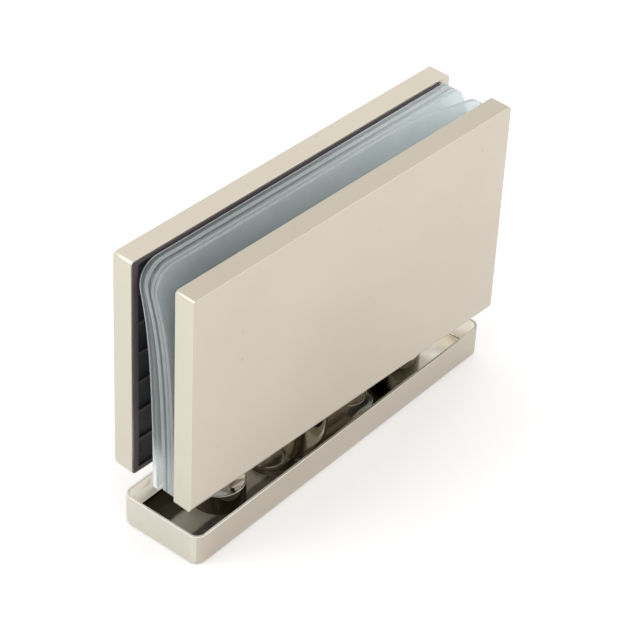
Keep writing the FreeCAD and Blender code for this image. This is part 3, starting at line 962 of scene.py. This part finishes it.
# %% [markdown]
# The pad lies in a pocket in the inner face, and the pocket goes round the seat of the pivot block. At
# the right end the back pad is shorter in the photograph, so its pocket is too.

# %% One plate
PLATE_CORNER = 0.9 * MM
BACK_PLATE_CORNER = 1.2 * MM
PLATE_EDGE = 0.12 * MM
PLATE_BELOW = 1.4 * MM
PAD_MARGIN = 0.5 * MM
PAD_CORNER = PLATE_CORNER - PAD_MARGIN
PAD_SHORT = 2.5 * MM
POCKET = 1.0 * MM
SEAT_GAP = 0.74 * MM


def plate(name, node, inner_side, corner):
    """One plate; inner_side is +1 if the inner face looks along +Y."""
    low, high = clamp_box(node)
    low.z -= PLATE_BELOW
    inner, outer = (high.y, low.y) if inner_side > 0 else (low.y, high.y)
    slab = standing_slab(name, low, high, corner)
    pick(slab, "EDGE", lambda a, b: on_plane(1, low.y)(a, b) or on_plane(1, high.y)(a, b))
    bevel(PLATE_EDGE, 3)
    leave_edit()
    carve(slab, gutter(low, high, outer, inner_side))
    y0, y1 = sorted((inner - inner_side * POCKET, inner + inner_side * MM))
    margin = Vector((PAD_MARGIN, 0, PAD_MARGIN))
    pocket_end = high.x - (PAD_SHORT if inner_side < 0 else 0)
    pocket = standing_slab("pocket", Vector((low.x, y0, low.z)) + margin,
                           Vector((pocket_end, y1, high.z)) - margin, PAD_CORNER)
    carve(pocket, block_shape("seat", y0 - MM, y1 + MM, SEAT_GAP))
    carve(slab, pocket)
    return slab


def dress_plate(leaf, top_painted_light, node):
    smooth(leaf)
    # End faces and tops take the copies with painted light and shade.
    dress(leaf, 1, lambda c, n: abs(n.x) > 0.8)
    dress(leaf, 2, lambda c, n: n.z > 0.8)
    mounted(leaf, "clamp", "satin_nickel", [plate_finish, end_painted_light, top_painted_light], node)


# %% [markdown]
# The front plate's outside is blank. The back plate gets four countersunk holes, each cut with the form
# of a screw that is a little too large, so that a fine line stays round the head.

# %% Front plate and back plate
HOLE_GAP = 0.05 * MM


def screw_cutter(x, z):
    """The form of one countersunk screw along Y, with its head at the back plate's outer face."""
    shank = SCREW + HOLE_GAP
    head = SCREW_HEAD + HOLE_GAP
    cutter = turned("hole", [(0.0, -30 * MM), (shank, -30 * MM), (shank, SCREW - SCREW_HEAD), (head, 0.0),
                             (head, 2 * MM), (0.0, 2 * MM)], steps=64)
    cutter.data.transform(Matrix.Translation((x, back_outer, z)) @ Matrix.Rotation(-math.pi / 2, 4, "X"))
    return cutter


dress_plate(plate("front_leaf", "front_plate", 1, PLATE_CORNER), front_top_painted_light, "front_plate")
back = plate("back_leaf", "back_plate", -1, BACK_PLATE_CORNER)
for x, z in screw_places:
    carve(back, screw_cutter(x, z))
dress_plate(back, back_top_painted_light, "back_plate")

# %% [markdown]
# The four screws have a hexagonal socket, and a soft edge where the head meets its countersink. One
# screw is turned upright, its socket is cut and its edges broken, and then it is laid along Y and copied
# to the four places.

# %% Plate screws
SOCKET_FLATS = 3.0 * MM
SOCKET_DEPTH = 2.0 * MM
SHANK_EDGE = 0.3 * MM
HEAD_EDGES = ((0.12 * MM, 0.12 * MM), (0.12 * MM, 0.05 * MM), (0.25 * MM, 0.02 * MM))
SCREW_BREAK = 0.08 * MM

shank_end = screw_low.y - back_outer
outline = [(0.0, shank_end), (SCREW - SHANK_EDGE, shank_end), (SCREW, shank_end + SHANK_EDGE),
           (SCREW, SCREW - SCREW_HEAD)]
outline += [(SCREW_HEAD - narrower, -below) for narrower, below in HEAD_EDGES] + [(0.0, -0.02 * MM)]
screw = turned("screw", outline, steps=64)
carve(screw, cylinder("socket", SOCKET_FLATS / math.sqrt(3), -SOCKET_DEPTH, MM, sides=6))
break_edges(screw, SCREW_BREAK, 40.0)
screw.data.transform(Matrix.Rotation(-math.pi / 2, 4, "X"))
screws = repeat(screw, "plate_screw_set", [(x, back_outer, z) for x, z in screw_places])
smooth(screws)
mounted(screws, "clamp", "zinc_steel", [plated_steel], "plate_screws")

# %% [markdown]
# ## The pads
# The photograph looks along the inner face of the back pad: a flat border, then rows of recessed cells
# between thin ribs. One cell's block is rounded and copied into rows, with none where the pivot block
# is, and all are cut out of the pad in one go.

# %% Cells of the pads
PAD_SIDE_BORDER = 1.3 * MM
PAD_END_BORDER = 0.7 * MM
PAD_ROWS = 7
PAD_COLUMNS = 10
PAD_RIB = 0.55 * MM
CELL_ROUND = 0.25 * MM


def pad_cells(low, high, y0, y1):
    """One object with every cell's block in it, clear of the pivot block."""
    length = (high.x - low.x - 2 * PAD_SIDE_BORDER + PAD_RIB) / PAD_COLUMNS - PAD_RIB
    height = (high.z - low.z - 2 * PAD_END_BORDER + PAD_RIB) / PAD_ROWS - PAD_RIB
    places = []
    for column in range(PAD_COLUMNS):
        x = low.x + PAD_SIDE_BORDER + column * (length + PAD_RIB)
        beside = x > block_high.x + NOTCH_GAP or x + length < block_low.x - NOTCH_GAP
        for row in range(PAD_ROWS):
            z = low.z + PAD_END_BORDER + row * (height + PAD_RIB)
            if beside or z > block_high.z + NOTCH_GAP:
                places.append((x, 0, z))
    cell = cube("cell", (0, y0, 0), (length, y1, height))
    pick(cell, "EDGE", runs_along(1))
    bevel(CELL_ROUND, 3)
    leave_edit()
    return repeat(cell, "cells", places)


# %% [markdown]
# A pad is a thin slab in its plate's pocket, as low as the plate. The window for the pivot block is cut
# after the cells, and every edge gets a tiny bevel, as a mould leaves it.

# %% Pads
CELL_DEPTH = 0.6 * MM
PAD_BREAK = 0.07 * MM
FACE_REACH = 0.05 * MM


def pad(name, node, inner_side):
    low, high = clamp_box(node)
    low.z -= PLATE_BELOW
    if inner_side < 0:
        high.x -= PAD_SHORT
    slab = standing_slab(name, low, high, PAD_CORNER, 8)
    face = high.y if inner_side > 0 else low.y
    y0, y1 = sorted((face - inner_side * CELL_DEPTH, face + inner_side * MM))
    carve(slab, pad_cells(low, high, y0, y1))
    carve(slab, block_shape("window", low.y - MM, high.y + MM, NOTCH_GAP))
    break_edges(slab, PAD_BREAK)
    smooth(slab)
    dress(slab, 1, lambda c, n: near(c.y, face, FACE_REACH))
    mounted(slab, "clamp", "black_pad", [rubber, rubber_border_painted_sheen], node)


pad("front_gasket_pad", "front_pad", 1)
pad("back_gasket_pad", "back_pad", -1)

# %% [markdown]
# ## The loose sheets
# Four clear sheets lie in the gap. They are bowed: their tops lean on the back pad and their feet on
# the front one. All follow one bow line, from the top (0) to the foot (1), and each goes from its own
# place at the top to its own place at the foot. The last sheet also flares to the front at the right.

# %% Where a sheet lies
SHEET_TOPS = (5.15, 4.00, 2.25, 1.30)
SHEET_FEET = (0.65, -1.95, -3.50, -4.45)
SHEET_LENGTH = 88.4 * MM
FLARE = 4.4 * MM
FLARE_LENGTH = 27.0 * MM
BOW = ((0.0, 0.0), (0.05, 0.07), (0.12, 0.29), (0.24, 0.56), (0.40, 0.76), (0.64, 0.91), (1.0, 1.0))


def bowed(down):
    """How far a sheet has moved to the front at a share of its height, on a smooth line."""
    for (d0, a0), (d1, a1) in zip(BOW, BOW[1:]):
        if down <= d1:
            break
    i = BOW.index((d0, a0))
    before = BOW[i - 1] if i > 0 else (d0 - (d1 - d0), a0)
    after = BOW[i + 2] if i + 2 < len(BOW) else (d1 + (d1 - d0), a1)
    slope0 = (a1 - before[1]) / (d1 - before[0])
    slope1 = (after[1] - a0) / (after[0] - d0)
    t = (down - d0) / (d1 - d0)
    span = d1 - d0
    return ((2 * t ** 3 - 3 * t ** 2 + 1) * a0 + (t ** 3 - 2 * t ** 2 + t) * span * slope0
            + (3 * t ** 2 - 2 * t ** 3) * a1 + (t ** 3 - t ** 2) * span * slope1)


def sheet_back(index, x, z, top, foot):
    """Where a sheet's back face lies, at a place along it and a height."""
    share_down = bowed(min(max((top - z) / (top - foot), 0.0), 1.0))
    line = (SHEET_TOPS[index] + (SHEET_FEET[index] - SHEET_TOPS[index]) * share_down) * MM
    if index == len(SHEET_TOPS) - 1:
        share = max(0.0, 1 - (SHEET_LENGTH / 2 - x) / FLARE_LENGTH)
        line -= FLARE * share ** 2 * (1 - share_down)
    return line


print("sheets", len(SHEET_TOPS), "half way down they have moved by", round(bowed(0.5), 2), "of their bow")

# %% [markdown]
# A sheet's corners are cut round: the two at the foot a little, the one at the left end of the top by
# more than the one at the right. The easiest way is to trim the bowed sheet with a flat block that has
# those corners, as scissors would.

# %% A sheet's outline
SHEET_REACH = 8.0 * MM
SHEET_CORNER = 5.5 * MM
SHEET_OPEN_CORNER = 2.6 * MM
SHEET_FOOT_CORNER = 1.0 * MM


def sheet_outline(top, foot):
    """The block that a sheet is trimmed to."""
    outline = cube("outline", (-SHEET_LENGTH / 2, -SHEET_REACH, foot), (SHEET_LENGTH / 2, SHEET_REACH, top))
    for side, corner, segments in ((-1, SHEET_CORNER, 14), (1, SHEET_OPEN_CORNER, 10)):
        pick(outline, "EDGE", lambda a, b: runs_along(1)(a, b) and near(a.z, top) and a.x * side > 0)
        bevel(corner, segments)
    pick(outline, "EDGE", lambda a, b: runs_along(1)(a, b) and near(a.z, foot))
    bevel(SHEET_FOOT_CORNER, 5)
    leave_edit()
    return outline


# %% [markdown]
# A sheet is a grid that is pushed back row by row, given its thickness, trimmed, and notched to clear
# the block. Last, every point of its mesh gets the number that the cut edge's finish reads.

# %% Sheets
SHEET_THICK = (1.0, 1.4, 0.8, 0.8)
SHEET_BELOW = (2.2, 1.3, 1.3, 1.3)
SHEET_DROP = 0.8 * MM
SHEET_ROWS = 40
SHEET_COLUMNS = 44
SHEET_BREAK = 0.1 * MM


def clear_sheet(index):
    """One sheet, from a flat grid."""
    plate_low, plate_high = clamp_box("front_plate")
    top = plate_high.z - SHEET_DROP
    foot = plate_low.z - SHEET_BELOW[index] * MM
    thick = SHEET_THICK[index] * MM
    select_nothing()
    bpy.ops.mesh.primitive_grid_add(x_subdivisions=SHEET_COLUMNS, y_subdivisions=SHEET_ROWS, size=1.0)
    sheet = fresh("clear_sheet_%d" % (index + 1))
    sheet.scale = (SHEET_LENGTH, top - foot, 1.0)
    sheet.rotation_euler = (math.pi / 2, 0, 0)
    sheet.location = (0, 0, (top + foot) / 2)
    settle(sheet)
    for vertex in sheet.data.vertices:
        vertex.co.y = sheet_back(index, vertex.co.x, vertex.co.z, top, foot) - thick / 2
    apply_modifier(sheet, "SOLIDIFY", thickness=thick, offset=0.0, use_even_offset=True)
    carve(sheet, sheet_outline(top, foot), "INTERSECT")
    carve(sheet, block_shape("notch", -SHEET_REACH, SHEET_REACH, NOTCH_GAP))
    break_edges(sheet, SHEET_BREAK)
    smooth(sheet, 40.0)
    depth = sheet.data.attributes.new("depth", "FLOAT", "POINT")
    for vertex in sheet.data.vertices:
        back_face = sheet_back(index, vertex.co.x, vertex.co.z, top, foot)
        depth.data[vertex.index].value = (back_face - vertex.co.y) / thick
    dress(sheet, 1, lambda c, n: abs(n.y) < 0.85)
    node = "gasket_sheet_%d" % (index + 1)
    mounted(sheet, "clamp", "clear_sheet", [clear_plastic_with_painted_glow, SHEET_RIMS[index]], node)


for index in range(len(SHEET_TOPS)):
    clear_sheet(index)

# %% [markdown]
# ## Inner pieces
# The block, bushes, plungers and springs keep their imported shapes, because they are right as they are
# and little of them shows. They only need their finishes.

# %% Finishes for the inner pieces
INNER_FINISHES = {
    "pivot_block": plate_finish, "thrust_washer": washer_plastic, "retaining_washer": plated_steel,
    "retaining_screw": plated_steel, "lower_bush": brass, "upper_bush": brass,
}
for side in ("left", "right"):
    for kind in ("detent_plunger", "detent_spring", "adjuster_screw"):
        INNER_FINISHES["%s_%s" % (kind, side)] = plated_steel
for node, finish in INNER_FINISHES.items():
    mesh = frame["nodes"][node].data
    mesh.materials.clear()
    mesh.materials.append(finish)
print("inner pieces dressed:", len(INNER_FINISHES))

# %% [markdown]
# ## Floor and light
# The photograph was taken on white. A large white floor under the object takes its soft shadow, and a
# slight glow of its own lifts it to plain white.

# %% Floor
FLOOR_SIZE = 6.0
FLOOR_GLOW = 0.12
WHITE = (1.0, 1.0, 1.0, 1.0)


def floor_finish():
    finish = Finish("studio_floor")
    shade = finish.noise(3.0, 2.0, 0.5)
    colour = finish.blend(shade, (0.93, 0.93, 0.93, 1.0), (0.96, 0.96, 0.96, 1.0))
    return finish.wear(Base_Color=colour, Roughness=0.7, Emission_Color=WHITE, Emission_Strength=FLOOR_GLOW)


select_nothing()
bpy.ops.mesh.primitive_plane_add(size=FLOOR_SIZE, location=(0, 0, 0))
floor = bpy.context.object
floor.name = "studio_floor"
floor.data.materials.append(floor_finish())
print("floor of", FLOOR_SIZE, "m")

# %% [markdown]
# The light came from all round, so a white world gives most of it. Two large soft lamps shape it: the
# key from the back left makes the end faces a little lighter than the front, and the fill from the front
# right keeps the front plate even.

# %% Light
WORLD_STRENGTH = 1.0
LAMP_TARGET = Vector((0, 0, 30.0)) * MM
LAMP_SIZE = 0.55
KEY_PLACE = Vector((-0.72, 0.50, 0.72))
KEY_POWER = 2.2
FILL_PLACE = Vector((0.70, -0.80, 0.60))
FILL_POWER = 1.6

world = bpy.data.worlds.new("studio")
bpy.context.scene.world = world
world.use_nodes = True
world.node_tree.nodes["Background"].inputs["Color"].default_value = WHITE
world.node_tree.nodes["Background"].inputs["Strength"].default_value = WORLD_STRENGTH


def soft_lamp(name, place, power):
    """A square lamp that faces the object."""
    data = bpy.data.lights.new(name, "AREA")
    data.size = LAMP_SIZE
    data.energy = power
    lamp = bpy.data.objects.new(name, data)
    bpy.context.scene.collection.objects.link(lamp)
    facing = (LAMP_TARGET - place).to_track_quat("-Z", "Y")
    lamp.matrix_world = Matrix.Translation(place) @ facing.to_matrix().to_4x4()
    print("lamp", name, power, "W,", round((LAMP_TARGET - place).length, 2), "m away")


soft_lamp("key", KEY_PLACE, KEY_POWER)
soft_lamp("fill", FILL_PLACE, FILL_POWER)
bpy.context.scene.view_settings.view_transform = "Standard"
